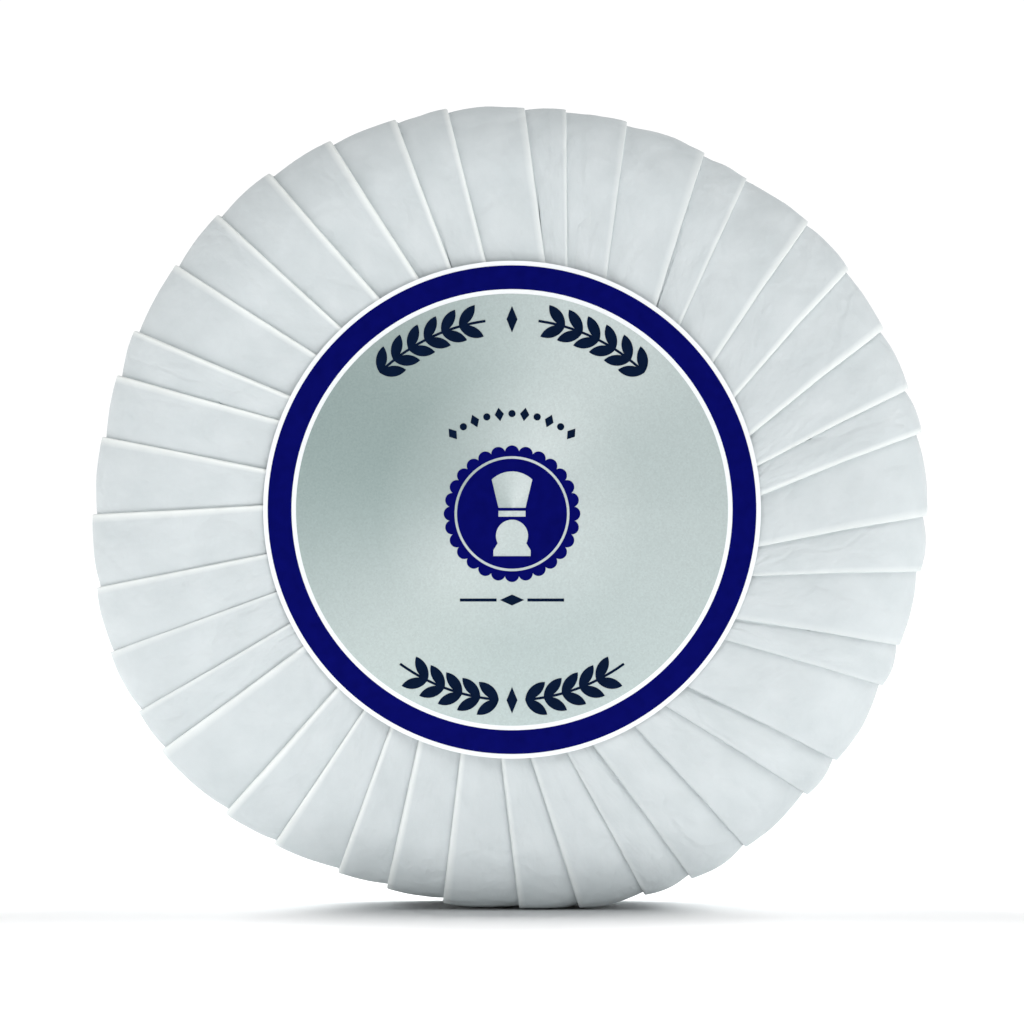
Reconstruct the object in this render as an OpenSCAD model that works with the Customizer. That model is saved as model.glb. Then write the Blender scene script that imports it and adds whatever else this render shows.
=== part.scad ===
// Pleat-wrapped round shaving soap, standing on its rim with the label facing -Y.
// A pressed soap puck sits in one circle of tissue paper. The paper comes up round the rim in
// knife pleats, which turn over the front face and stop short of its middle. A round printed
// label holds the pleats down, and it peels from its top edge.
// Each piece is drawn in the puck's own frame, with +Z out of the labelled face, and stand()
// puts it upright. The origin is on the floor under the middle of the standing puck.

/* [Soap] */
// Diameter of the pressed soap puck
soap_d = 68; // [54:0.5:84]
// Thickness of the soap puck, face to face
soap_t = 26; // [18:0.5:34]
// Radius round the edge of each face
soap_edge_r = 5; // [2:0.5:8]
// Width of the parting band that the press leaves round the side
band_w = 3; // [1:0.5:6]
// How far the parting band stands out of the side
band_h = 0.2; // [0.1:0.05:0.4]

/* [Wrapper] */
// Clearance between the soap and the paper
soap_slack = 0.1; // [0.05:0.05:0.3]
// Paper over the back face
back_wall = 0.25; // [0.2:0.05:0.6]
// Paper under the pleats on the side
side_wall = 0.9; // [0.85:0.05:1.4]
// Paper under the pleats on the front face
front_wall = 0.35; // [0.25:0.05:0.8]
// Paper left between the soap and the floor, where the puck stands
foot_wall = 0.45; // [0.3:0.05:0.8]
// Number of knife pleats
pleat_count = 40; // [24:1:56]
// Height of the step at the folded edge of a pleat
pleat_rise = 0.45; // [0.25:0.05:0.7]
// Share of a pleat's width taken by its steep side
pleat_steep = 0.12; // [0.06:0.02:0.3]
// Degrees that a pleat turns on its way from the rim to the mouth
pleat_swirl = 5; // [0:1:12]
// Diameter of the mouth in the front, where the pleats stop under the label
mouth_d = 22; // [14:1:30]

/* [Label] */
// Diameter of the label
label_d = 43; // [34:0.5:52]
// Thickness of the label paper
label_t = 0.12; // [0.08:0.02:0.3]
// Thickness of the glue behind the label
glue_t = 0.04; // [0.02:0.01:0.1]
// How far the glue stops short of the label's edge
glue_inset = 0.5; // [0.2:0.1:2]
// Clearance between the glue and the pleats
label_gap = 0.02; // [0.01:0.01:0.1]
// Distance from the label's front to the line it peels about
peel_reach = 2; // [0.5:0.1:4]

/* [Print] */
// Thickness of each printed layer
ink_t = 0.03; // [0.02:0.01:0.06]
// Bare paper outside the ring
margin_w = 0.4; // [0.2:0.1:1]
// Width of the dark ring
ring_w = 2.05; // [1:0.05:3]
// Bare paper line between the ring and the silver field
hairline_w = 0.4; // [0.2:0.1:0.8]
// Distance from the edge of the field in to the stems of the garlands
garland_inset = 2.2; // [1.8:0.1:3]
// Width of a garland's stem
stem_w = 0.22; // [0.15:0.01:0.4]
// Length of a leaf
leaf_l = 2.3; // [1.4:0.1:2.8]
// Width of a leaf
leaf_w = 0.95; // [0.5:0.05:1.2]
// Angle between a leaf and its stem
leaf_lean = 38; // [20:1:60]
// Distance between one pair of leaves and the next, along the stem
leaf_pitch = 1.6; // [1.3:0.05:3]
// Angle that the top garland covers
top_span = 88; // [60:2:110]
// Angle that the bottom garland covers
bottom_span = 72; // [50:2:100]
// Diameter of the scalloped seal
seal_d = 11.8; // [9:0.1:13]
// How far the seal's middle lies below the label's middle
seal_drop = 0.35; // [0:0.05:1]
// Number of scallops round the seal
scallop_count = 28; // [16:1:40]
// Radius of a scallop
scallop_r = 0.62; // [0.4:0.02:0.9]
// Width of the bare line inside the seal's edge
seal_line_w = 0.22; // [0.15:0.01:0.4]
// Radius of the arc of beads above the seal
bead_arc_r = 8.3; // [7:0.1:10]
// Angle that the arc of beads covers
bead_span = 76; // [40:2:90]
// Number of beads
bead_count = 11; // [5:2:15]
// Diameter of a bead
bead_d = 0.62; // [0.3:0.02:0.9]
// How far the rule lies below the label's middle
rule_drop = 7.8; // [7:0.1:9]
// Length of the rule
rule_l = 9; // [5:0.1:11]
// Width of the rule
rule_w = 0.26; // [0.15:0.01:0.5]

/* [Hidden] */

$fn = 180;
// Overshoot of a cut past the face it goes through
cut_over = 1;

// Cavity that the paper leaves for the soap
soap_r = soap_d / 2;
cavity_r = soap_r + band_h + soap_slack;
cavity_t = soap_t + 2 * soap_slack;
stand_r = cavity_r + foot_wall;

// The pleated skin: corner centres and the planes of its two faces
corner_r = cavity_r - soap_edge_r;
corner_z = cavity_t / 2 - soap_edge_r;
back_z = cavity_t / 2 + back_wall;
valley_z = cavity_t / 2 + front_wall;
crest_z = valley_z + pleat_rise;
mouth_r = mouth_d / 2;
pleat_pitch = 360 / pleat_count;
corner_steps = 4;
face_steps = 3;
// Share of its full rise that a pleat already has where the side meets the back corner
back_share = 0.5;

// The label's layers, from the glue out
glue_z = crest_z + label_gap;
paper_z = glue_z + glue_t;
print_z = paper_z + label_t;
field_top_z = print_z + ink_t;
front_z = field_top_z + ink_t;
ring_r = label_d / 2 - margin_w;
field_r = ring_r - ring_w - hairline_w;
garland_r = field_r - garland_inset;

// The label peels about a line along X, level with its top edge and a little in front of it
peel_y = -(front_z + back_z) / 2 - peel_reach;
peel_z = stand_r + label_d / 2;
echo(peel_axis_mm = [0, peel_y, peel_z]);

// Puts a piece upright: the puck's axis goes along Y, midway through the depth
module stand() {
    translate([0, (front_z - back_z) / 2, stand_r]) rotate([90, 0, 0]) children();
}

// Disc with rounded edges, centred on the origin
module rounded_disc(r, t, edge_r) {
    rotate_extrude() {
        square_r = r - edge_r;
        translate([0, -t / 2]) square([square_r, t]);
        translate([0, edge_r - t / 2]) square([r, t - 2 * edge_r]);
        for (side = [-1, 1]) intersection() {
            translate([square_r, side * (t / 2 - edge_r)]) circle(r = edge_r);
            translate([0, -t / 2]) square([r, t]);
        }
    }
}

module soap_puck() {
    color("ivory") stand() {
        rounded_disc(soap_r, soap_t, soap_edge_r);
        // The parting band is sunk into the side by its own width
        rotate_extrude() translate([soap_r - band_w, -band_w / 2]) square([band_w + band_h, band_w]);
    }
}

// A row of the skin: radius and height of the valleys, outward direction, rise, turn
back_rows = [for (i = [0:corner_steps]) let (t = 90 * i / corner_steps)
    [corner_r + (soap_edge_r + side_wall) * sin(t), -corner_z - (soap_edge_r + back_wall) * cos(t),
     sin(t), -cos(t), pleat_rise * back_share * t / 90, pleat_swirl]];
side_rows = [for (i = [0:corner_steps]) let (t = 90 * i / corner_steps)
    [corner_r + (soap_edge_r + side_wall) * cos(t), corner_z + (soap_edge_r + front_wall) * sin(t),
     cos(t), sin(t), pleat_rise, pleat_swirl]];
face_rows = [for (i = [1:face_steps]) let (k = i / face_steps)
    [corner_r + (mouth_r - cut_over - corner_r) * k, valley_z, 0, 1, pleat_rise, pleat_swirl * (1 - k)]];
rows = concat(back_rows, side_rows, face_rows);

// Even columns are crests. A valley lies just before the next crest, so each pleat
// slopes down under its neighbour and ends in a steep step.
function skin_point(row, j) =
    let (crest = j % 2 == 0,
         a = (floor(j / 2) + (crest ? 0 : 1 - pleat_steep)) * pleat_pitch + row[5],
         h = crest ? row[4] : 0,
         r = row[0] + h * row[2])
    [r * cos(a), r * sin(a), row[1] + h * row[3]];

module pleated_skin() {
    columns = 2 * pleat_count;
    last = len(rows) - 1;
    front_pole = 1 + columns * len(rows);
    function at(i, j) = 1 + i * columns + j % columns;
    points = concat([[0, 0, -back_z]],
                    [for (row = rows) for (j = [0:columns - 1]) skin_point(row, j)],
                    [[0, 0, valley_z]]);
    faces = concat(
        [for (j = [0:columns - 1]) [0, at(0, j), at(0, j + 1)]],
        [for (i = [0:last - 1]) for (j = [0:columns - 1]) [at(i, j), at(i + 1, j), at(i + 1, j + 1)]],
        [for (i = [0:last - 1]) for (j = [0:columns - 1]) [at(i, j), at(i + 1, j + 1), at(i, j + 1)]],
        [for (j = [0:columns - 1]) [front_pole, at(last, j + 1), at(last, j)]]);
    polyhedron(points, faces);
}

module wrapper() {
    color("whitesmoke") stand() difference() {
        pleated_skin();
        rounded_disc(cavity_r, cavity_t, soap_edge_r);
        cylinder(r = mouth_r, h = crest_z + cut_over);
        // The puck's weight flattens the paper where it stands
        translate([-soap_d / 2, -stand_r - soap_d, -soap_t]) cube([soap_d, soap_d, 2 * soap_t]);
    }
}

// A printed layer that lies on the label at height z
module layer(z, t) {
    stand() translate([0, 0, z]) linear_extrude(height = t) children();
}

module ring_2d(outer_r, inner_r) {
    difference() {
        circle(r = outer_r);
        circle(r = inner_r);
    }
}

module label_glue() {
    color("wheat") layer(glue_z, glue_t) circle(r = label_d / 2 - glue_inset);
}

module label_paper() {
    color("white") layer(paper_z, label_t) circle(r = label_d / 2);
}

module field_print() {
    color("silver") layer(print_z, ink_t) circle(r = field_r);
}

module ring_print() {
    color("navy") layer(print_z, ink_t) ring_2d(ring_r, ring_r - ring_w);
}

// A pointed leaf along +X from the origin, where two equal circles cross
module leaf() {
    arc_r = (leaf_l * leaf_l + leaf_w * leaf_w) / (4 * leaf_w);
    intersection_for (side = [-1, 1])
        translate([leaf_l / 2, side * (arc_r - leaf_w / 2)]) circle(r = arc_r);
}

module lozenge(l, w) {
    polygon([[-l / 2, 0], [0, -w / 2], [l / 2, 0], [0, w / 2]]);
}

// One sprig on an arc round the origin, growing clockwise from the angle start to the angle end
module sprig(start, end) {
    step = leaf_pitch / garland_r * 180 / PI;
    pairs = floor((start - end) / step);
    wedge_r = 2 * garland_r;
    intersection() {
        ring_2d(garland_r + stem_w / 2, garland_r - stem_w / 2);
        polygon([[0, 0], wedge_r * [cos(start), sin(start)], wedge_r * [cos(end), sin(end)]]);
    }
    for (i = [0:pairs - 1]) rotate(start - i * step) translate([garland_r, 0]) {
        rotate(-90 + leaf_lean) leaf();
        rotate(-90 - leaf_lean) leaf();
    }
}

// Two sprigs that grow to the top of the label, with a lozenge between them
module top_garland_print() {
    // Room between the tips of the two sprigs
    tip_gap = 8;
    color("midnightblue") layer(field_top_z, ink_t) {
        sprig(90 + top_span / 2, 90 + tip_gap);
        mirror([1, 0]) sprig(90 + top_span / 2, 90 + tip_gap);
        translate([0, garland_r]) lozenge(leaf_w, leaf_l);
    }
}

// Two sprigs that grow outwards from the bottom of the label, crossed by a lozenge
module bottom_garland_print() {
    // Room between the stalks of the two sprigs
    stalk_gap = 4;
    color("midnightblue") layer(field_top_z, ink_t) {
        sprig(-90 - stalk_gap, -90 - bottom_span / 2);
        mirror([1, 0]) sprig(-90 - stalk_gap, -90 - bottom_span / 2);
        translate([0, -garland_r]) lozenge(leaf_w, leaf_l);
    }
}

// Shaving brush, upright, with its middle at the origin
module brush_2d() {
    brush_h = seal_d * 0.62;
    knot_w = brush_h * 0.56;
    collar_w = brush_h * 0.32;
    collar_h = brush_h * 0.07;
    handle_r = brush_h * 0.19;
    foot_w = brush_h * 0.44;
    foot_h = brush_h * 0.07;
    // Bristles fan out above the collar to a domed top
    translate([0, collar_h]) intersection() {
        polygon([[-collar_w / 2, 0], [collar_w / 2, 0], [knot_w / 2, brush_h / 2], [-knot_w / 2, brush_h / 2]]);
        translate([0, brush_h / 2 - collar_h - knot_w * 0.62]) circle(r = knot_w * 0.62);
    }
    translate([-collar_w / 2, -collar_h / 2]) square([collar_w, collar_h]);
    translate([0, -collar_h - handle_r]) circle(r = handle_r);
    translate([0, -brush_h / 2 + foot_h]) polygon([[-foot_w / 2, 0], [foot_w / 2, 0],
        [handle_r * 0.6, handle_r * 0.9], [-handle_r * 0.6, handle_r * 0.9]]);
    translate([-foot_w / 2, -brush_h / 2]) square([foot_w, foot_h]);
}

module seal_print() {
    edge_r = seal_d / 2 - scallop_r;
    line_r = edge_r - scallop_r / 2;
    color("navy") layer(field_top_z, ink_t) translate([0, -seal_drop]) difference() {
        union() {
            circle(r = edge_r);
            for (i = [0:scallop_count - 1]) rotate(i * 360 / scallop_count)
                translate([edge_r, 0]) circle(r = scallop_r, $fn = 32);
        }
        ring_2d(line_r, line_r - seal_line_w);
        brush_2d();
    }
}

// Beads in an arc above the seal, and a rule with a lozenge below it
module accent_print() {
    color("midnightblue") layer(field_top_z, ink_t) {
        for (i = [0:bead_count - 1])
            rotate(90 - bead_span / 2 + i * bead_span / (bead_count - 1)) translate([bead_arc_r, 0])
                if (i % 2 == 0) lozenge(1.9 * bead_d, 1.3 * bead_d); else circle(d = bead_d, $fn = 32);
        translate([0, -rule_drop]) {
            lozenge(2.2 * leaf_w, leaf_w);
            for (side = [0, 1]) mirror([side, 0]) translate([1.4 * leaf_w, -rule_w / 2])
                square([rule_l / 2 - 1.4 * leaf_w, rule_w]);
        }
    }
}

soap_puck();
wrapper();
label_glue();
label_paper();
field_print();
ring_print();
seal_print();
top_garland_print();
bottom_garland_print();
accent_print();
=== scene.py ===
import itertools
import math

import bmesh
import bpy
import numpy as np
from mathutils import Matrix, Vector


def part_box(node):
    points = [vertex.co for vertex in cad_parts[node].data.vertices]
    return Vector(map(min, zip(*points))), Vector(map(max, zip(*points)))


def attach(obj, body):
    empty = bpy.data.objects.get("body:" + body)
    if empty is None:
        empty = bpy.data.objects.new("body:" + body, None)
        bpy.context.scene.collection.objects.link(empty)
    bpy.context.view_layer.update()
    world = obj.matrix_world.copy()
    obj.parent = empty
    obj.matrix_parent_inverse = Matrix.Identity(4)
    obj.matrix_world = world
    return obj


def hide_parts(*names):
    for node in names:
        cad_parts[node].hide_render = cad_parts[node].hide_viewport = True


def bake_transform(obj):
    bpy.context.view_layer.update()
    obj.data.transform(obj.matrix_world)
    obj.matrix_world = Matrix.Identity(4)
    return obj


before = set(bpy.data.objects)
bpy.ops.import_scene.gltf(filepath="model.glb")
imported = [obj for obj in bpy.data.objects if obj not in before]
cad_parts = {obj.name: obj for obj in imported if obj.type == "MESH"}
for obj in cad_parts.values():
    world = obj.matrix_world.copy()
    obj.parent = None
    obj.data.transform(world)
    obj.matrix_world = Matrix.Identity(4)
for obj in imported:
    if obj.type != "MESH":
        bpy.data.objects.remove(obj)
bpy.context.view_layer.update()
mm = 0.001


# A CAD node's lowest and highest corners, in millimetres
def boxMm(node):
    low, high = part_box(node)
    return np.array(low) / mm, np.array(high) / mm


# The puck's round axis lies along Y, at the height axisZ. Its labelled face looks to -Y.
soapLow, soapHigh = boxMm("soap_puck")
wrapLow, wrapHigh = boxMm("wrapper")
labelLow, labelHigh = boxMm("label_paper")
axisZ = (labelLow[2] + labelHigh[2]) / 2
midY = (soapLow[1] + soapHigh[1]) / 2
soapR = (soapHigh[0] - soapLow[0]) / 2
soapHalf = (soapHigh[1] - soapLow[1]) / 2
labelR = (labelHigh[0] - labelLow[0]) / 2
crestH = midY - wrapLow[1]  # how far out of the puck's middle the pleats reach under the label
print("frame loaded, soap radius", round(float(soapR), 2), "mm")


# A point (x, y) across the puck and h out of its labelled face, in the shared frame in metres
def place(x, y, h):
    x, y, h = np.broadcast_arrays(x, y, h)
    return np.stack([x, midY - h, axisZ + y], -1) * mm


# From 0 to 1 with flat ends: three times t squared, less two times t cubed
def smooth(t):
    t = np.clip(t, 0, 1)
    return t * t * (3 - 2 * t)


# 1 at an angle and falling away to each side of it, as a bell curve of that half width
def near(angle, middleDeg, halfDeg):
    away = np.angle(np.exp(1j * (angle - math.radians(middleDeg))))
    return np.exp(-(away / math.radians(halfDeg)) ** 2)


# Lumpy noise from -1 to 1: random values at the corners of cubes, joined by smooth steps
def lumps(x, y, z, cell, seed):
    size = 32
    table = np.random.default_rng(seed).uniform(-1, 1, (size, size, size))
    at = np.stack(np.broadcast_arrays(x, y, z), -1) / cell
    low = np.floor(at).astype(int)
    part = smooth(at - low)
    total = 0
    for corner in itertools.product((0, 1), repeat=3):
        share = np.prod(np.where(corner, part, 1 - part), -1)
        i, j, k = np.moveaxis((low + np.array(corner)) % size, -1, 0)
        total = total + share * table[i, j, k]
    return total


# One mesh object from grids of points. A grid is (points, closeRows, closeColumns), and
# points that fall together, at poles and where a fold has no depth, are merged.
def gridPiece(name, grids, material, uv=None, folded=None, sharpDeg=None, mergeMm=0.0004):
    corners, quads, start = [], [], 0
    for points, closeRows, closeColumns in grids:
        rows, columns = points.shape[:2]
        index = start + np.arange(rows * columns).reshape(rows, columns)
        if closeRows:
            index = np.vstack([index, index[:1]])
        if closeColumns:
            index = np.hstack([index, index[:, :1]])
        around = [index[:-1, :-1], index[:-1, 1:], index[1:, 1:], index[1:, :-1]]
        quads.append(np.stack(around, -1).reshape(-1, 4))
        corners.append(points.reshape(-1, 3))
        start += rows * columns
    quads = np.concatenate(quads)
    mesh = bpy.data.meshes.new(name)
    mesh.from_pydata(np.concatenate(corners), [], quads)
    if uv is not None:
        layer = mesh.uv_layers.new(name="sheet")
        layer.data.foreach_set("uv", uv.reshape(-1, 2)[quads.ravel()].ravel())
    if folded is not None:
        shares = mesh.attributes.new("folded", "FLOAT", "POINT").data
        shares.foreach_set("value", folded.ravel().astype(np.float32))
    mesh.polygons.foreach_set("use_smooth", np.ones(len(quads), bool))
    work = bmesh.new()
    work.from_mesh(mesh)
    bmesh.ops.remove_doubles(work, verts=work.verts, dist=mergeMm * mm)
    work.to_mesh(mesh)
    work.free()
    if sharpDeg:
        mesh.set_sharp_from_angle(angle=math.radians(sharpDeg))
    mesh.materials.append(material)
    piece = bpy.data.objects.new(name, mesh)
    bpy.context.scene.collection.objects.link(piece)
    return piece


# An sRGB hex colour as linear red, green, blue and alpha: a straight line up to a low level,
# and above it the value plus an offset, scaled and raised to the power 2.4
def hexLinear(code):
    srgb = np.array([int(code[i:i + 2], 16) for i in (0, 2, 4)]) / 255
    linear = np.where(srgb <= 0.04045, srgb / 12.92, ((srgb + 0.055) / 1.055) ** 2.4)
    return (*(float(c) for c in linear), 1.0)


# Adds one node: settings are the node's own, values go to its inputs by name or number, and
# links joins other nodes' outputs to its inputs
def addNode(tree, kind, values=None, links=None, **settings):
    node = tree.nodes.new(kind)
    for key, value in settings.items():
        setattr(node, key, value)
    for key, value in (values or {}).items():
        node.inputs[key].default_value = value
    for key, source in (links or {}).items():
        tree.links.new(source, node.inputs[key])
    return node


# A material with one Principled shader joined to its output, its constant inputs set
def newMaterial(name, values=None):
    material = bpy.data.materials.new(name)
    material.use_nodes = True
    tree = material.node_tree
    tree.nodes.clear()
    shader = addNode(tree, "ShaderNodeBsdfPrincipled", values)
    addNode(tree, "ShaderNodeOutputMaterial", links={"Surface": shader.outputs["BSDF"]})
    return material, tree, shader


# The texture scale for a pattern of this size in millimetres: one over the size in metres
def perMm(size):
    return 1 / (size * mm)


# Bleached tissue, glazed on a hot cylinder: a cool soft white with hardly any gloss. It is
# thin, so it looks cloudy where the fibres lie unevenly, and it keeps every small crease. A
# painted highlight whitens the sharp folds' lips, where light catches them. Single fibres are
# too fine to show, so their pattern is drawn as coarse as it needs to be.
def tissuePaper():
    look = dict(thin="C3CBCD", thick="D9DFE1", paintedHighlight="F4F8F6", highlightShare=0.85, cloud=3.6,
                fibre=0.45, fibreDeep=0.03, drawnOut=0.22, cockle=1.5, cockleDeep=0.16,
                crease=6.5, creaseWide=0.12, creaseDeep=0.09, warp=6.0, roughness=0.6, gloss=0.25)
    material, tree, shader = newMaterial("tissuePaperMachineGlazed", {
        "Roughness": look["roughness"], "Specular IOR Level": look["gloss"]})
    sheet = addNode(tree, "ShaderNodeUVMap", uv_map="sheet").outputs["UV"]
    cloud = addNode(tree, "ShaderNodeTexNoise", {"Scale": perMm(look["cloud"]), "Detail": 5.0},
                    {"Vector": sheet})
    colour = addNode(tree, "ShaderNodeMix", {6: hexLinear(look["thin"]), 7: hexLinear(look["thick"])},
                     {"Factor": cloud.outputs["Fac"]}, data_type="RGBA")
    # Painted highlight: the base colour goes towards white along the fold lips that the folded attribute
    # marks
    folded = addNode(tree, "ShaderNodeAttribute", attribute_name="folded")
    paintedHighlight = addNode(tree, "ShaderNodeMapRange", {"To Max": look["highlightShare"]},
                      {"Value": folded.outputs["Fac"]})
    whiter = addNode(tree, "ShaderNodeMix", {7: hexLinear(look["paintedHighlight"])},
                     {"Factor": paintedHighlight.outputs["Result"], 6: colour.outputs[2]}, data_type="RGBA")
    tree.links.new(whiter.outputs[2], shader.inputs["Base Color"])
    # Fibres lie mostly along the web, so their pattern is drawn out one way
    along = addNode(tree, "ShaderNodeMapping", {"Scale": (1.0, look["drawnOut"], 1.0)}, {"Vector": sheet})
    fibre = addNode(tree, "ShaderNodeTexNoise", {"Scale": perMm(look["fibre"]), "Detail": 3.0},
                    {"Vector": along.outputs["Vector"]})
    cockle = addNode(tree, "ShaderNodeTexNoise", {"Scale": perMm(look["cockle"]), "Detail": 2.0},
                     {"Vector": sheet})
    # Creases are the cell edges of a cell pattern, bent by a slow noise
    sway = addNode(tree, "ShaderNodeTexNoise", {"Scale": perMm(look["crease"])}, {"Vector": sheet})
    swayed = addNode(tree, "ShaderNodeVectorMath", {1: (look["warp"] * mm,) * 3},
                     {0: sway.outputs["Color"], 2: sheet}, operation="MULTIPLY_ADD")
    crease = addNode(tree, "ShaderNodeTexVoronoi", {"Scale": perMm(look["crease"])},
                     {"Vector": swayed.outputs["Vector"]}, feature="DISTANCE_TO_EDGE")
    fold = addNode(tree, "ShaderNodeMapRange", {"From Max": look["creaseWide"]},
                   {"Value": crease.outputs["Distance"]}, interpolation_type="SMOOTHSTEP")
    fine = addNode(tree, "ShaderNodeBump", {"Strength": 0.8, "Distance": look["fibreDeep"] * mm},
                   {"Height": fibre.outputs["Fac"]})
    broad = addNode(tree, "ShaderNodeBump", {"Strength": 0.8, "Distance": look["cockleDeep"] * mm},
                    {"Height": cockle.outputs["Fac"], "Normal": fine.outputs["Normal"]})
    bump = addNode(tree, "ShaderNodeBump", {"Strength": 0.5, "Distance": look["creaseDeep"] * mm},
                   {"Height": fold.outputs["Result"], "Normal": broad.outputs["Normal"]})
    tree.links.new(bump.outputs["Normal"], shader.inputs["Normal"])
    return material


# Clay-coated art paper, calendered: a brighter, cleaner white than the tissue with a low
# sheen that breaks up a little over the fibres under its coating. They are drawn coarser than
# they are, so that they show.
def labelStock():
    look = dict(low="EEF2F5", high="F8FAFC", fibre=0.35, fibreDeep=0.006, mottle=2.5, roughness=0.42,
                gloss=0.3)
    material, tree, shader = newMaterial("coatedArtPaper", {
        "Roughness": look["roughness"], "Specular IOR Level": look["gloss"]})
    where = addNode(tree, "ShaderNodeTexCoord").outputs["Object"]
    mottle = addNode(tree, "ShaderNodeTexNoise", {"Scale": perMm(look["mottle"]), "Detail": 4.0},
                     {"Vector": where})
    colour = addNode(tree, "ShaderNodeMix", {6: hexLinear(look["low"]), 7: hexLinear(look["high"])},
                     {"Factor": mottle.outputs["Fac"]}, data_type="RGBA")
    tree.links.new(colour.outputs[2], shader.inputs["Base Color"])
    fibre = addNode(tree, "ShaderNodeTexNoise", {"Scale": perMm(look["fibre"]), "Detail": 3.0},
                    {"Vector": where})
    bump = addNode(tree, "ShaderNodeBump", {"Strength": 0.4, "Distance": look["fibreDeep"] * mm},
                   {"Height": fibre.outputs["Fac"]})
    tree.links.new(bump.outputs["Normal"], shader.inputs["Normal"])
    return material


# Silver pigment ink on coated paper: fine flakes give a satin, slightly green grey. Over it
# lies a painted sheen, the light and shade a satin silver throws back, turned about the middle:
# darker to the upper left and brighter in two beams, and fading towards the middle. The painted
# sheen's stops are (share of a turn from 3 o'clock, colour).
def silverInk():
    look = dict(middle="F0F6F6", flake=0.14, flakeDeep=0.004, glint=(0.93, 1.05), roughness=0.42,
                metallic=0.5, fadeR=18.0,
                turn=[(0.0, "B9C5C4"), (0.085, "B1BEBD"), (0.167, "CDD7D6"), (0.25, "B9C6C5"),
                      (0.345, "99A9A7"), (0.42, "93A4A2"), (0.5, "9BACAA"), (0.585, "BBC7C6"),
                      (0.66, "C1CDCB"), (0.75, "B3C1C0"), (0.9, "BDC9C8"), (1.0, "B9C5C4")])
    material, tree, shader = newMaterial("silverPigmentInk", {
        "Roughness": look["roughness"], "Metallic": look["metallic"]})
    where = addNode(tree, "ShaderNodeTexCoord").outputs["Object"]
    # The label's middle becomes the origin, and its face the XY plane
    centred = addNode(tree, "ShaderNodeVectorMath", {1: (0, 0, -axisZ * mm)}, {0: where}, operation="ADD")
    faced = addNode(tree, "ShaderNodeMapping", {"Rotation": (math.radians(-90), 0, 0)},
                    {"Vector": centred.outputs["Vector"]})
    turn = addNode(tree, "ShaderNodeTexGradient", links={"Vector": faced.outputs["Vector"]},
                   gradient_type="RADIAL")
    # The radial gradient starts at 9 o'clock, so half a turn is added and the whole turn taken off
    half = addNode(tree, "ShaderNodeMath", {1: 0.5}, {0: turn.outputs["Fac"]}, operation="ADD")
    share = addNode(tree, "ShaderNodeMath", links={0: half.outputs[0]}, operation="FRACT")
    ramp = addNode(tree, "ShaderNodeValToRGB", links={"Fac": share.outputs[0]})
    ramp.color_ramp.interpolation = "B_SPLINE"
    for stop, code in look["turn"][1:-1]:
        ramp.color_ramp.elements.new(stop).color = hexLinear(code)
    ramp.color_ramp.elements[0].color = hexLinear(look["turn"][0][1])
    ramp.color_ramp.elements[-1].color = hexLinear(look["turn"][-1][1])
    away = addNode(tree, "ShaderNodeVectorMath", links={0: faced.outputs["Vector"]}, operation="LENGTH")
    fade = addNode(tree, "ShaderNodeMapRange", {"From Max": look["fadeR"] * mm},
                   {"Value": away.outputs["Value"]})
    # Painted sheen, which fades to the middle colour towards the label's middle
    paintedSheen = addNode(tree, "ShaderNodeMix", {6: hexLinear(look["middle"])},
                   {"Factor": fade.outputs["Result"], 7: ramp.outputs["Color"]}, data_type="RGBA")
    # Flakes are far finer than this in fact, and drawn just coarse enough to show
    flake = addNode(tree, "ShaderNodeTexVoronoi", {"Scale": perMm(look["flake"])}, {"Vector": where})
    glint = addNode(tree, "ShaderNodeMapRange", {"To Min": look["glint"][0], "To Max": look["glint"][1]},
                    {"Value": flake.outputs["Color"]})
    colour = addNode(tree, "ShaderNodeMix", {"Factor": 1.0},
                     {6: paintedSheen.outputs[2], 7: glint.outputs["Result"]},
                     data_type="RGBA", blend_type="MULTIPLY")
    tree.links.new(colour.outputs[2], shader.inputs["Base Color"])
    bump = addNode(tree, "ShaderNodeBump", {"Strength": 0.3, "Distance": look["flakeDeep"] * mm},
                   {"Height": flake.outputs["Distance"]})
    tree.links.new(bump.outputs["Normal"], shader.inputs["Normal"])
    return material


# Offset ink under a matt varnish: a solid dark colour whose film is a touch thinner over the
# paper's high spots, with the fine ripple that the rollers leave.
def offsetInk(name, thin, full):
    look = dict(mottle=0.9, ripple=0.3, rippleDeep=0.004, roughness=0.5, gloss=0.02)
    material, tree, shader = newMaterial(name, {
        "Roughness": look["roughness"], "Specular IOR Level": look["gloss"]})
    where = addNode(tree, "ShaderNodeTexCoord").outputs["Object"]
    mottle = addNode(tree, "ShaderNodeTexNoise", {"Scale": perMm(look["mottle"]), "Detail": 4.0},
                     {"Vector": where})
    colour = addNode(tree, "ShaderNodeMix", {6: hexLinear(thin), 7: hexLinear(full)},
                     {"Factor": mottle.outputs["Fac"]}, data_type="RGBA")
    tree.links.new(colour.outputs[2], shader.inputs["Base Color"])
    ripple = addNode(tree, "ShaderNodeTexNoise", {"Scale": perMm(look["ripple"]), "Detail": 1.0},
                     {"Vector": where})
    bump = addNode(tree, "ShaderNodeBump", {"Strength": 0.3, "Distance": look["rippleDeep"] * mm},
                   {"Height": ripple.outputs["Fac"]})
    tree.links.new(bump.outputs["Normal"], shader.inputs["Normal"])
    return material


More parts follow.
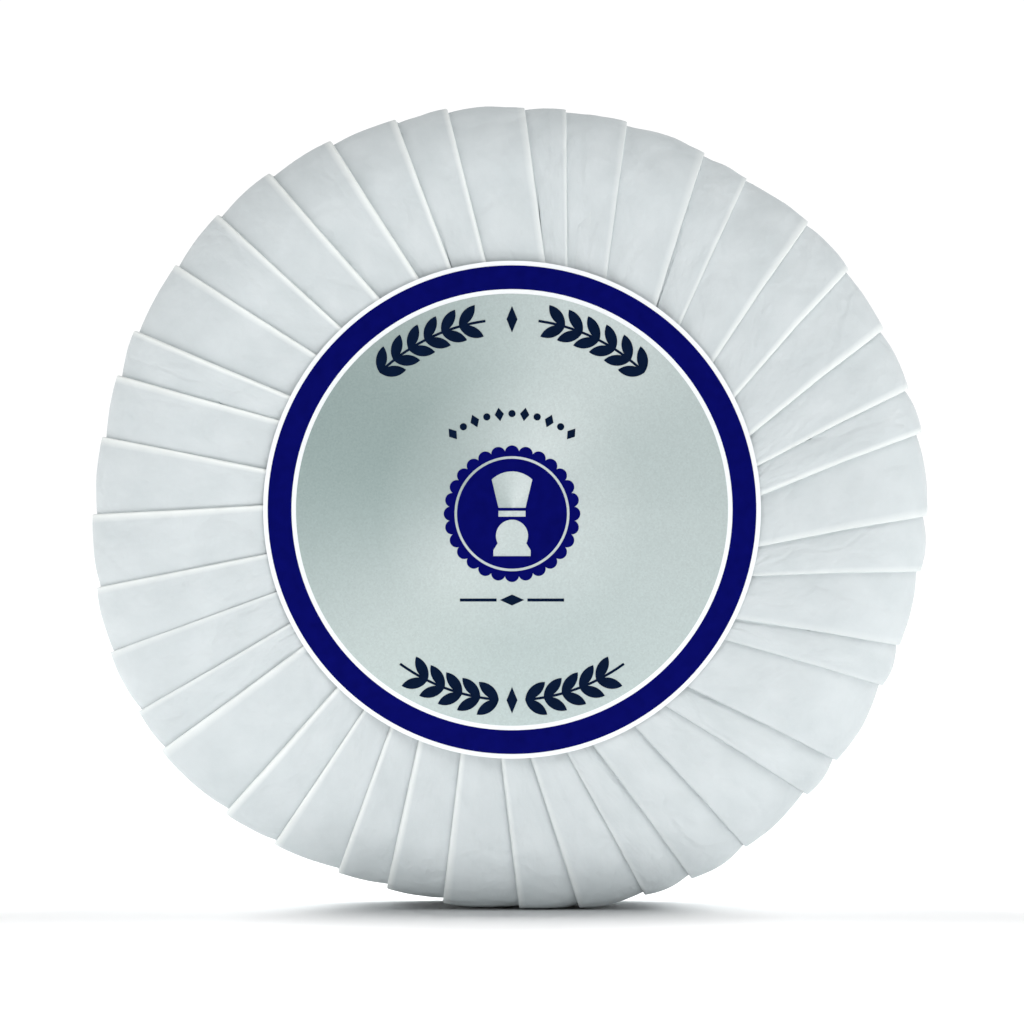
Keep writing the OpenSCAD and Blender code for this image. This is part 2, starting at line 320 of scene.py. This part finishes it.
# Acrylic glue, roller coated on the label's back: a thin tacky film, faintly yellow and
# glossy, in streaks along the web and with tissue fibres stuck in it.
def labelGlue():
    look = dict(film="D0C9B1", fibres="DBD9CD", streak=0.8, streakDeep=0.02, drawnOut=0.08,
                fuzz=0.55, fuzzDeep=0.03, roughness=0.28)
    material, tree, shader = newMaterial("acrylicLabelGlue", {"Roughness": look["roughness"]})
    where = addNode(tree, "ShaderNodeTexCoord").outputs["Object"]
    along = addNode(tree, "ShaderNodeMapping", {"Scale": (1.0, 1.0, look["drawnOut"])}, {"Vector": where})
    streak = addNode(tree, "ShaderNodeTexNoise", {"Scale": perMm(look["streak"]), "Detail": 2.0},
                     {"Vector": along.outputs["Vector"]})
    fuzz = addNode(tree, "ShaderNodeTexNoise",
                   {"Scale": perMm(look["fuzz"]), "Detail": 6.0, "Roughness": 0.7}, {"Vector": where})
    stuck = addNode(tree, "ShaderNodeMapRange", {"From Min": 0.5, "From Max": 0.62},
                    {"Value": fuzz.outputs["Fac"]})
    colour = addNode(tree, "ShaderNodeMix", {6: hexLinear(look["film"]), 7: hexLinear(look["fibres"])},
                     {"Factor": stuck.outputs["Result"]}, data_type="RGBA")
    tree.links.new(colour.outputs[2], shader.inputs["Base Color"])
    film = addNode(tree, "ShaderNodeBump", {"Strength": 0.5, "Distance": look["streakDeep"] * mm},
                   {"Height": streak.outputs["Fac"]})
    bump = addNode(tree, "ShaderNodeBump", {"Strength": 0.6, "Distance": look["fuzzDeep"] * mm},
                   {"Height": stuck.outputs["Result"], "Normal": film.outputs["Normal"]})
    tree.links.new(bump.outputs["Normal"], shader.inputs["Normal"])
    return material


# Milled tallow soap, stamped cold: ivory and waxy, with light soaking in a little, slow
# marbling from the mill and a fine grain from the die.
def tallowSoap():
    look = dict(deep="E7DEC8", pale="F4EFE2", marble=7.0, grain=0.5, grainDeep=0.015, roughness=0.38,
                soak=0.12, soakMm=0.8)
    material, tree, shader = newMaterial("milledTallowSoap", {
        "Roughness": look["roughness"], "Subsurface Weight": look["soak"],
        "Subsurface Scale": look["soakMm"] * mm})
    where = addNode(tree, "ShaderNodeTexCoord").outputs["Object"]
    marble = addNode(tree, "ShaderNodeTexNoise",
                     {"Scale": perMm(look["marble"]), "Detail": 4.0, "Distortion": 1.5}, {"Vector": where})
    colour = addNode(tree, "ShaderNodeMix", {6: hexLinear(look["deep"]), 7: hexLinear(look["pale"])},
                     {"Factor": marble.outputs["Fac"]}, data_type="RGBA")
    tree.links.new(colour.outputs[2], shader.inputs["Base Color"])
    grain = addNode(tree, "ShaderNodeTexNoise", {"Scale": perMm(look["grain"]), "Detail": 2.0},
                    {"Vector": where})
    bump = addNode(tree, "ShaderNodeBump", {"Strength": 0.5, "Distance": look["grainDeep"] * mm},
                   {"Height": grain.outputs["Fac"]})
    tree.links.new(bump.outputs["Normal"], shader.inputs["Normal"])
    return material


tissue = tissuePaper()
stock = labelStock()
silver = silverInk()
navy = offsetInk("navyOffsetInkVarnished", "060A68", "020450")
darkInk = offsetInk("blueBlackOffsetInkVarnished", "0A1B38", "031026")
glue = labelGlue()
soap = tallowSoap()
print("materials made")


# Section of the soap from the middle of its back, round the rim, to the middle of its front:
# p is the distance along it, over a flat, a quarter circle, the side, a second quarter circle
# and the other flat. Gives radius and height, and the outward direction's share of each, which
# are the sine and minus the cosine of how far the section has turned.
def soapSection(p, edgeR):
    flat, side, arc = soapR - edgeR, 2 * (soapHalf - edgeR), math.pi / 2 * edgeR
    a1 = np.clip((p - flat) / edgeR, 0, math.pi / 2)
    a2 = np.clip((p - flat - arc - side) / edgeR, 0, math.pi / 2)
    r = np.minimum(p, flat) + edgeR * np.sin(a1 + a2) - np.maximum(p - flat - side - 2 * arc, 0)
    h = -soapHalf + edgeR * (1 - np.cos(a1)) + np.clip(p - flat - arc, 0, side) + edgeR * np.sin(a2)
    return r, h, np.sin(a1 + a2), -np.cos(a1 + a2)


wrapperSizes = dict(
    pleats=40,
    soapEdge=5.0,       # radius of the soap's edges
    mouthR=11.5,        # where the sheet's edge ends, under the label
    seed=12,
    uneven=0.2,         # how far a fold strays, as a share of a pleat
    narrow=0.38,        # the narrowest pleat, as a share of an even one
    pleatsFrom=6.0,     # how far inside the back's edge the folds start
    pleatsGrow=12.0,    # and the stretch over which they reach their full size
    hidden=0.6,         # depth of the hidden fold, at most, as a share of a pleat
    covered=1.3,        # and at least, as a share of the lip over it
    tail=0.04,          # height of a panel's end under the next lip, at most
    low=0.12,           # height of the returning layer, at most
    looseAt=0.57,       # how far the paper stands off at the rim, on average
    looseReach=12,      # and how far from the rim that dies away, along the section
    # Slow waves in how far it stands off: (waves in a turn, height, degrees turned)
    waves=[(1, 0.33, 169), (2, 0.66, 0), (3, 0.18, -107), (4, 0.3, 120), (5, 0.2, 0)],
    corner=(0.5, 42, 10),   # one fuller corner: height, its angle, half width in degrees
    handled=(72, 203),  # angles of the two stretches that have been handled
    puffedAt=315,       # and of the one where the panels bulge
    sway=0.14,          # slow unevenness at the rim
    crumple=0.1,        # depth of the creases in the smooth stretches
    crush=0.32,         # and in the two handled ones
    ragged=0.9,         # how far the sheet's edge wanders in the mouth
    floorSoft=0.3,      # height over which the weight flattens the paper
    capSoft=0.08,       # height over which the label flattens it
)


# How far the paper stands off at the rim, by angle: its average, plus the sum of the waves,
# each its height times the cosine of so many times the angle, plus the corner's bell curve
def rimBulge(w, a):
    waves = sum(height * np.cos(count * a - math.radians(turned)) for count, height, turned in w["waves"])
    height, at, halfDeg = w["corner"]
    return w["looseAt"] + waves + height * near(a, at, halfDeg)


# A height kept above zero: under the soft height it dies away as that times e to the power of
# (height / soft height - 1)
def keepAbove(height, soft):
    return np.where(height < soft, soft * np.exp(np.minimum(height / soft - 1, 0)), height)


# The fold lines, by row and pleat. On the side they run straight back. On the front each is a
# straight line that passes the puck's middle at a distance, so at radius r it has turned by
# acos(distance / rim radius) - acos(distance / r) from where it starts at the rim.
def foldAngles(w, rng, r, rimR, share):
    n = w["pleats"]
    pitch = math.tau / n
    rim = (np.arange(n) + rng.uniform(-1, 1, n) * w["uneven"]) * pitch
    slant = np.radians(4.2 + 3.8 * np.cos(rim - math.radians(5)) + rng.uniform(-1.6, 1.6, n))
    chord = np.sqrt(rimR ** 2 + labelR ** 2 - 2 * rimR * labelR * np.cos(slant))
    miss = rimR * labelR * np.sin(slant) / chord
    turned = np.arccos(np.clip(miss / rimR, -1, 1)) - np.arccos(np.clip(miss / np.minimum(r, rimR), -1, 1))
    fold = rim - np.where(share > 0, turned, 0)
    fold = fold + smooth(-share) * rng.uniform(-1, 1, n) * 0.7 * w["uneven"] * pitch
    # A pleat never gets narrower than its least width, and together they fill one turn
    step = np.diff(fold, axis=1, append=fold[:, :1] + math.tau)
    step = np.maximum(step, w["narrow"] * pitch)
    step = step * math.tau / step.sum(1, keepdims=True)
    start = fold[:, :1] + np.cumsum(step, 1) - step
    return start[:, :, None], step[:, :, None], rim


# The wrapper is one circle of tissue. Each row is a ring of the sheet at one distance p along
# the soap's section. Each pleat is half a circle for its folded lip, a panel down to the next
# lip, a tail hidden under that lip, and the layer that comes back to it.
def makeWrapper(w):
    rng = np.random.default_rng(w["seed"])
    n, edge = w["pleats"], w["soapEdge"]
    pitch = math.tau / n
    flat, side, arc = soapR - edge, 2 * (soapHalf - edge), math.pi / 2 * edge
    backEdge, sideBack = flat, flat + arc
    sideFront, frontEdge = sideBack + side, sideBack + side + arc
    labelEdge, mouth = frontEdge + flat - labelR, frontEdge + flat - w["mouthR"]
    p = np.concatenate([np.linspace(0, backEdge - 8, 12), np.linspace(backEdge - 7, sideBack, 18),
                        np.linspace(sideBack, sideFront, 24)[1:], np.linspace(sideFront, frontEdge, 17)[1:],
                        np.linspace(frontEdge, mouth, 34)[1:]])
    r0, h0, nr, nh = (a[:, None, None] for a in soapSection(p, edge))
    pp = p[:, None, None]

    def along(stops, values):  # a size that varies along the section
        return np.interp(p, stops, values)[:, None, None]

    # How far the paper stands off the soap, and the radius of a folded lip
    pleatStart = backEdge - w["pleatsFrom"]
    slack = along([0, pleatStart, sideBack, sideFront, frontEdge, labelEdge, mouth],
                  [0.14, 0.14, 0.45, 0.62, 0.5, 0.3, 0.25])
    ramp = smooth((pp - backEdge + w["pleatsFrom"]) / w["pleatsGrow"])
    lip = along([pleatStart, sideBack, sideFront, frontEdge, labelEdge, mouth],
                [0.0, 0.12, 0.19, 0.2, 0.18, 0.14]) * ramp
    skinR = r0 + nr * slack
    meridian = np.hypot(np.diff(skinR.ravel()), np.diff((h0 + nh * slack).ravel()))
    sheetR = np.concatenate([[0], np.cumsum(meridian)])[:, None, None]

    share = np.where(p > sideFront, 1, np.minimum(p - sideFront, 0) / side)[:, None]
    rimR = float(np.interp(sideFront, p, skinR.ravel()))
    fold, step, rim = foldAngles(w, rng, skinR[:, :, 0], rimR, share)
    wide = skinR * step
    # Two stretches have been handled: their folds are softer. At the lower right the panels
    # bulge between flatter lips.
    handledTop, handledLeft = w["handled"]
    crushed = np.maximum(near(rim, handledTop, 26), 0.8 * near(rim, handledLeft, 14))[:, None]
    puffed = near(rim, w["puffedAt"], 50)[:, None]
    lip = lip * rng.uniform(0.75, 1.25, n)[:, None] * (1 - 0.5 * crushed - 0.15 * puffed)
    lip = lip * (1 + 0.3 * lumps(pp, np.arange(n)[:, None] * 9.0, 0, 6, w["seed"]))
    spare = (sheetR - skinR) * pitch / 2
    depth = np.maximum(np.minimum(spare, w["hidden"] * wide) * ramp, w["covered"] * lip)
    low, tail = np.minimum(w["low"], lip), np.minimum(w["tail"], lip / 3)

    # x runs round the puck from the fold, and y stands off the skin
    turn = np.radians(np.linspace(-90, 90, 7))
    lipX, lipY = lip * (1 - np.cos(turn)), low + lip * (1 + np.sin(turn))
    f = np.linspace(0, 1, 11)[1:]
    top = low + 2 * lip
    bulge = (0.07 + 0.05 * rng.uniform(-1, 1, n)[:, None] + 0.16 * puffed) * ramp
    panelX = lip + f * (wide - lip)
    panelY = tail + (top - tail) * (1 - f) ** 0.9 + bulge * np.sin(math.pi * f)
    tailX, tailY = wide + depth * np.array([0.5, 1.0]), tail + 0 * depth * np.array([0.5, 1.0])
    backX, backY = wide + depth * np.array([0.95]), low + 0 * depth
    # Painted highlight where light catches a sharp fold's lip, from the lip to the start of the panel:
    # weaker where the paper was handled, none where the panels bulge
    crisp = ramp * (1 - 0.6 * crushed) * (1 - puffed)
    folded = np.concatenate([0 * turn + 1, 0 * f, [0, 0, 0]]) * np.clip(crisp, 0, 1)
    x = np.concatenate([lipX, panelX, tailX, backX], -1)
    y = np.concatenate([lipY, panelY, tailY, backY], -1)

    # Place on the flat sheet, from the share of the folded path walked so far
    walked = np.cumsum(np.hypot(np.diff(x, prepend=x[..., :1]), np.diff(y, prepend=y[..., :1])), -1)
    cut = (np.arange(n)[:, None] + walked / (walked[..., -1:] + 1e-6)) * pitch
    uv = np.stack([sheetR * np.cos(cut), sheetR * np.sin(cut)], -1) * mm

    angle = np.where(pp < 1e-6, 0 * x, fold + x / (skinR + 1e-6))
    atRim = np.exp(-((pp - sideFront) / w["looseReach"]) ** 2)
    # All layers crumple together: creases are where a slow noise passes through zero
    cx, cy, cz = skinR * np.cos(angle), skinR * np.sin(angle), h0 + 40
    handled = np.maximum(near(angle, handledTop, 24), 0.8 * near(angle, handledLeft, 13))
    handled = handled * smooth((pp - sideBack) / 10)
    creases = (np.abs(lumps(cx, cy, cz, 4.6, w["seed"] + 2)) - 0.3
               + 0.5 * np.abs(lumps(cx, cy, cz, 2.3, w["seed"] + 3)) - 0.15)
    sway = w["sway"] * atRim * lumps(cx, cy, cz, 9, w["seed"] + 1)
    off = np.maximum(slack + rimBulge(w, angle) * atRim + sway, 0.08) + y
    off = off + (w["crumple"] + (w["crush"] - w["crumple"]) * handled) * creases * smooth(pp / 4)
    r, h = r0 + nr * off, h0 + nh * off
    # The sheet's edge wanders in the mouth, because the folds don't all reach the same way
    wander = lumps(8 * np.cos(angle), 8 * np.sin(angle), 0, 3, 5)
    r = r - w["ragged"] * smooth((pp - labelEdge) / (mouth - labelEdge)) * wander

    # The label presses the crests into one plane, and the weight flattens the foot
    room = crestH - h + np.maximum(r - labelR - 0.3, 0) * 0.6
    pressed = keepAbove(room, w["capSoft"])
    h = np.where(nh > 0.5, h + room - pressed, h)
    lift = keepAbove(axisZ + r * np.sin(angle), w["floorSoft"])
    rows = len(p)
    points = place(r * np.cos(angle), lift - axisZ, h).reshape(rows, -1, 3)
    piece = gridPiece("tissue_wrapper", [(points, False, True)], tissue, uv=uv.reshape(rows, -1, 2),
                      folded=folded)
    return piece, float(sheetR[-1, 0, 0]) * mm


wrapper, sheetRadius = makeWrapper(wrapperSizes)
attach(wrapper, "wrapped_soap")
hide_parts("wrapper")
print("wrapper folded from a circle", round(2 * sheetRadius / mm, 1), "mm across,",
      len(wrapper.data.polygons), "faces")


labelSizes = dict(
    columns=240,
    rings=44,
    ringBands=6,
    sharpDeg=40,
    ringWide=2.05,      # width of the navy ring
    wave=0.05,          # how far the label's edge rides up over the pleats
    waveFrom=18.8,      # radius inside which the label is flat
    peelZone=12.0,      # stretch below the top edge where a peeled label would bend
)


# The label is flat over the field, and its edge rides up and down a little on the pleats: a
# smooth rise from the flat part's radius to the edge, times a lumpy share of the wave
def labelWave(x, y):
    s = labelSizes
    rise = smooth((np.hypot(x, y) - s["waveFrom"]) / (labelR - s["waveFrom"]))
    return s["wave"] * rise * (0.5 + 0.5 * lumps(x, y, 0, 5, 5))


# How far a node's back and front stand out of the puck's middle
def layerHeights(node):
    low, high = boxMm(node)
    return midY - high[1], midY - low[1]


# A closed layer turned about the label's middle: its section goes out along its back and
# home along its front, and is carried round the circle
def roundLayer(name, node, material, inner=0.0):
    low, high = boxMm(node)
    outer = (high[0] - low[0]) / 2
    back, front = layerHeights(node)
    out = np.linspace(inner, outer, labelSizes["ringBands" if inner else "rings"])
    radii = np.concatenate([out, out[::-1]])
    heights = np.repeat([back, front], len(out))[:, None]
    a = np.linspace(0, math.tau, labelSizes["columns"], endpoint=False)
    x, y = np.outer(radii, np.cos(a)), np.outer(radii, np.sin(a))
    points = place(x, y, heights + labelWave(x, y))
    return gridPiece(name, [(points, inner > 0, True)], material, sharpDeg=labelSizes["sharpDeg"])


# A label layer's placement is baked into its points: it stays flat where it was built, with no bend
def peel(piece):
    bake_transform(piece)


labelPaper = roundLayer("label_sticker", "label_paper", stock)
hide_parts("label_paper")
peel(labelPaper)

glueLayer = roundLayer("label_adhesive", "label_glue", glue)
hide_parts("label_glue")
peel(glueLayer)

fieldLayer = roundLayer("silver_field", "field_print", silver)
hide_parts("field_print")
peel(fieldLayer)

ringLow, ringHigh = boxMm("ring_print")
ringInner = (ringHigh[0] - ringLow[0]) / 2 - labelSizes["ringWide"]
ringLayer = roundLayer("navy_ring", "ring_print", navy, ringInner)
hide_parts("ring_print")
peel(ringLayer)
print("label layers built")

garlandSizes = dict(
    stemR=16.45,        # radius of the arc that the stems follow
    stemWide=0.22,
    stalkDeg=44,        # where a stem starts, from the top of the label
    tipDeg=8,           # and where it ends
    leafLong=2.3,
    leafWide=0.95,
    leanDeg=38,         # angle between a leaf and its stem
    leafPitch=1.6,      # along the stem
    step=0.002,         # each kind of shape is this much lower than the last, so no two faces coincide
)


# A closed flat shape along a line: half its width at each point gives its two edges
def ribbon(alongX, alongY, acrossX, acrossY, half, back, front):
    v = np.array([-1, -0.33, 0.33, 1, 1, 0.33, -0.33, -1])
    x = alongX[:, None] + acrossX[:, None] * half[:, None] * v
    y = alongY[:, None] + acrossY[:, None] * half[:, None] * v
    return place(x, y, np.repeat([back, front], 4)[None, :] + 0 * x), False, True


# A leaf has half its width left where two equal circles cross: sqrt(arc^2 - along^2) less
# the distance from their middles to the leaf's line
def leaf(g, x, y, direction, back, front):
    arcR = (g["leafLong"] ** 2 + g["leafWide"] ** 2) / (4 * g["leafWide"])
    t = np.linspace(0, g["leafLong"], 15)
    half = np.sqrt(np.maximum(arcR ** 2 - (t - g["leafLong"] / 2) ** 2, 0)) - arcR + g["leafWide"] / 2
    c, s = math.cos(direction), math.sin(direction)
    return ribbon(x + t * c, y + t * s, 0 * t + s, 0 * t - c, np.maximum(half, 0), back, front)


# Two sprigs grow from the sides to the top of the label, with a lozenge between them
def makeGarland(g):
    back, front = layerHeights("top_garland_print")
    grids = []
    stepAngle = g["leafPitch"] / g["stemR"]
    pairs = int(math.radians(g["stalkDeg"] - g["tipDeg"]) / stepAngle)
    for side in (-1, 1):
        a = math.pi / 2 + side * np.radians(np.linspace(g["stalkDeg"], g["tipDeg"], 40))
        half = 0 * a + g["stemWide"] / 2
        c, s = np.cos(a), np.sin(a)
        grids.append(ribbon(g["stemR"] * c, g["stemR"] * s, c * side, s * side,
                            half, back, front - 2 * g["step"]))
        for i in range(pairs):
            at = math.pi / 2 + side * (math.radians(g["stalkDeg"]) - i * stepAngle)
            for lean in (-1, 1):
                direction = at - side * math.pi / 2 + lean * math.radians(g["leanDeg"])
                grids.append(leaf(g, g["stemR"] * math.cos(at), g["stemR"] * math.sin(at), direction, back,
                                  front - (lean > 0) * g["step"]))
    t = np.linspace(-1, 1, 9)
    grids.append(ribbon(0 * t, g["stemR"] + t * g["leafLong"] / 2, 0 * t + 1, 0 * t,
                        g["leafWide"] / 2 * (1 - np.abs(t)), back, front))
    return gridPiece("top_garland", grids, darkInk, sharpDeg=labelSizes["sharpDeg"])


garland = makeGarland(garlandSizes)
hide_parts("top_garland_print")
peel(garland)

for node, material in (("soap_puck", soap), ("seal_print", navy), ("bottom_garland_print", darkInk),
                       ("accent_print", darkInk)):
    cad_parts[node].data.materials.clear()
    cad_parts[node].data.materials.append(material)
print("prints and soap finished")


studio = dict(
    floorReach=6.0,     # metres from the middle to the floor's edges
    horizon=1.05,       # level of the bright line all round
    band=0.1,           # its half height, as the sine of the angle from level
    front=0.14,         # level of the dome in front of the puck
    back=0.9,           # behind it
    zenith=0.2,         # and overhead
    # Suns are (energy, width, tilt from overhead, turn from straight behind), angles in degrees.
    # The key and the two rim suns reach all but the floor. The floor suns reach the floor alone:
    # each casts its own faint shadow, and only in front of the foot, where all of them are
    # hidden, is it dark.
    keySun=(1.1, 40, 35, 157),
    rimSun=(0.6, 40, 60),
    rimTurns=(-80, 80),
    floorSun=(1.5, 24, 52),
    floorTurns=(-66, -36, 36, 66),
    # A low white card in front lifts the lower half of the face: (watts, width, height, metres
    # in front of the middle, metres up, degrees turned up from facing the floor)
    fillCard=(0.017, 0.16, 0.012, 0.05, 0.002, 95),
    distance=0.8,       # metres from the camera to the puck's middle
    viewWide=88.4,      # millimetres that the view takes in, at the label
    viewDrop=0.2,       # millimetres that the camera stands below the puck's axis
    sensorWide=36,      # millimetres
    farthest=50,        # metres that the camera sees
)

floorMesh = bpy.data.meshes.new("floor")
reach = studio["floorReach"]
floorCorners = [(-reach, -reach, 0), (reach, -reach, 0), (reach, reach, 0), (-reach, reach, 0)]
floorMesh.from_pydata(floorCorners, [], [(0, 1, 2, 3)])
floor = bpy.data.objects.new("floor", floorMesh)
bpy.context.scene.collection.objects.link(floor)
floorLook, _, floorShader = newMaterial("paleFloor", {"Roughness": 0.9, "Base Color": hexLinear("FCFCFC")})
floorMesh.materials.append(floorLook)

# A white studio: a bright line along the horizon, and a dome that is dim in front and bright
# behind, and goes from there to one level overhead
world = bpy.data.worlds.new("studio")
bpy.context.scene.world = world
world.use_nodes = True
sky = world.node_tree
sky.nodes.clear()
way = addNode(sky, "ShaderNodeTexCoord").outputs["Generated"]
axes = addNode(sky, "ShaderNodeSeparateXYZ", links={"Vector": way})
side = addNode(sky, "ShaderNodeMapRange",
               {"From Min": -1.0, "To Min": studio["front"], "To Max": studio["back"]},
               {"Value": axes.outputs["Y"]})
dome = addNode(sky, "ShaderNodeMapRange", {"To Max": studio["zenith"]},
               {"Value": axes.outputs["Z"], "To Min": side.outputs["Result"]})
level = addNode(sky, "ShaderNodeMath", links={0: axes.outputs["Z"]}, operation="ABSOLUTE")
band = addNode(sky, "ShaderNodeMapRange", {"From Min": studio["band"], "From Max": 1.6 * studio["band"]},
               {"Value": level.outputs[0]})
both = addNode(sky, "ShaderNodeMix", {2: studio["horizon"]},
               {"Factor": band.outputs["Result"], 3: dome.outputs["Result"]})
shine = addNode(sky, "ShaderNodeBackground", links={"Strength": both.outputs[0]})
shine.inputs["Color"].default_value = (1, 1, 1, 1)
addNode(sky, "ShaderNodeOutputWorld", links={"Surface": shine.outputs["Background"]})


# The direction to a sun is (sin tilt sin turn, sin tilt cos turn, cos tilt)
def addSun(name, energy, wideDeg, tiltDeg, turnDeg, reaches):
    light = bpy.data.lights.new(name, "SUN")
    light.energy = energy
    light.angle = math.radians(wideDeg)
    lamp = bpy.data.objects.new(name, light)
    tilt, turn = math.radians(tiltDeg), math.radians(turnDeg)
    source = Vector((math.sin(tilt) * math.sin(turn), math.sin(tilt) * math.cos(turn), math.cos(tilt)))
    lamp.rotation_euler = source.to_track_quat("Z", "Y").to_euler()
    lamp.light_linking.receiver_collection = reaches
    bpy.context.scene.collection.objects.link(lamp)


floorOnly = bpy.data.collections.new("floorOnly")
floorOnly.objects.link(floor)
allButFloor = bpy.data.collections.new("allButFloor")
allButFloor.objects.link(floor)
allButFloor.collection_objects[0].light_linking.link_state = "EXCLUDE"
for turnDeg in studio["floorTurns"]:
    addSun("floorSun", *studio["floorSun"], turnDeg, floorOnly)
for turnDeg in studio["rimTurns"]:
    addSun("rimSun", *studio["rimSun"], turnDeg, allButFloor)
addSun("keySun", *studio["keySun"], allButFloor)

watts, cardWide, cardHigh, cardAhead, cardUp, cardTurn = studio["fillCard"]
card = bpy.data.lights.new("fillCard", "AREA")
card.shape = "RECTANGLE"
card.energy = watts
card.size = cardWide
card.size_y = cardHigh
cardObject = bpy.data.objects.new("fillCard", card)
cardObject.location = (0, -cardAhead, cardUp)
cardObject.rotation_euler = (math.radians(cardTurn), 0, 0)
cardObject.visible_camera = False
cardObject.light_linking.receiver_collection = allButFloor
bpy.context.scene.collection.objects.link(cardObject)

camera = bpy.data.cameras.new("camera")
camera.sensor_width = studio["sensorWide"]
camera.lens = camera.sensor_width * (studio["distance"] / mm - crestH) / studio["viewWide"]
camera.clip_end = studio["farthest"]
cameraObject = bpy.data.objects.new("camera", camera)
cameraObject.location = (0, -studio["distance"], (axisZ - studio["viewDrop"]) * mm)
cameraObject.rotation_euler = (math.radians(90), 0, 0)
bpy.context.scene.collection.objects.link(cameraObject)
bpy.context.scene.camera = cameraObject
bpy.context.scene.view_settings.view_transform = "Standard"
print("scene lit")
